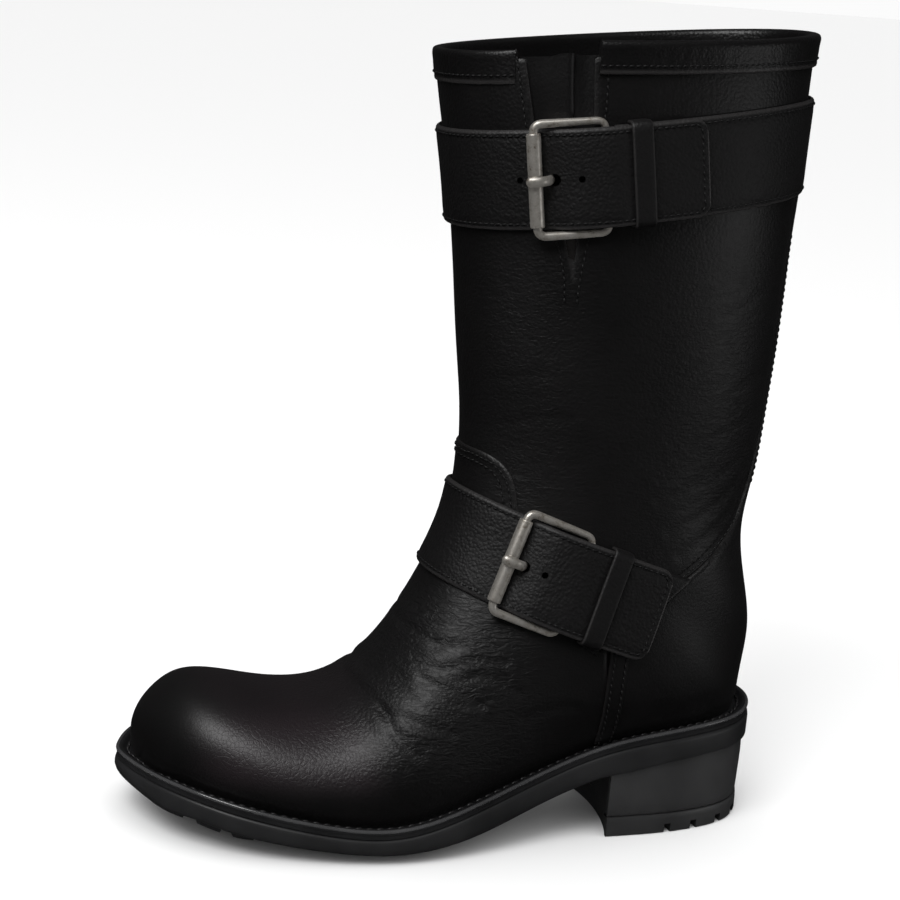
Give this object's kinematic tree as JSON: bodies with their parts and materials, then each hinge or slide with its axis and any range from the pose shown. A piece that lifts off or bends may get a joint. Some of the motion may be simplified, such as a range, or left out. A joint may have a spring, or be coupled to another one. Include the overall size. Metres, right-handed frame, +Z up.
{
  "type": "engineer boot",
  "caption": "Tall pull-on leather boot with a round toe, buckled straps at the shaft and instep, a side gusset, a welted lug sole and a block heel.",
  "frame": {"origin": "on the floor under the middle of the heel, at the heel's rest face", "axes": "+Z up, -X towards the toe, -Y towards the outer side with the buckles"},
  "size_m": [0.2746, 0.1182, 0.3255],
  "materials": {
    "upper_leather": "black pebbled leather, semi-gloss",
    "counter_leather": "black leather, smooth, semi-gloss",
    "band_leather": "black leather, folded and padded",
    "gusset_leather": "black leather, soft",
    "strap_leather": "black pebbled strap leather, stitched edge",
    "welt_rubber": "black, bright bead along the edge",
    "sole_rubber": "black lugged rubber, satin",
    "heel_rubber": "black, smooth, satin",
    "insole_leather": "dark brown leather",
    "buckle_metal": "worn nickel with brown patina"
  },
  "bodies": {
    "root": {"collar_band": "band_leather", "gusset": "gusset_leather", "heel_block": "heel_rubber", "heel_counter": "counter_leather", "heel_lift": "sole_rubber", "insole": "insole_leather", "instep_buckle_frame": "buckle_metal", "instep_buckle_prong": "buckle_metal", "instep_buckle_roller": "buckle_metal", "instep_buckle_tab": "strap_leather", "instep_keeper": "strap_leather", "instep_strap": "strap_leather", "outsole": "sole_rubber", "top_buckle_frame": "buckle_metal", "top_buckle_prong": "buckle_metal", "top_buckle_roller": "buckle_metal", "top_keeper": "strap_leather", "top_strap": "strap_leather", "upper": "upper_leather", "welt": "welt_rubber"}
  },
  "joints": []
}
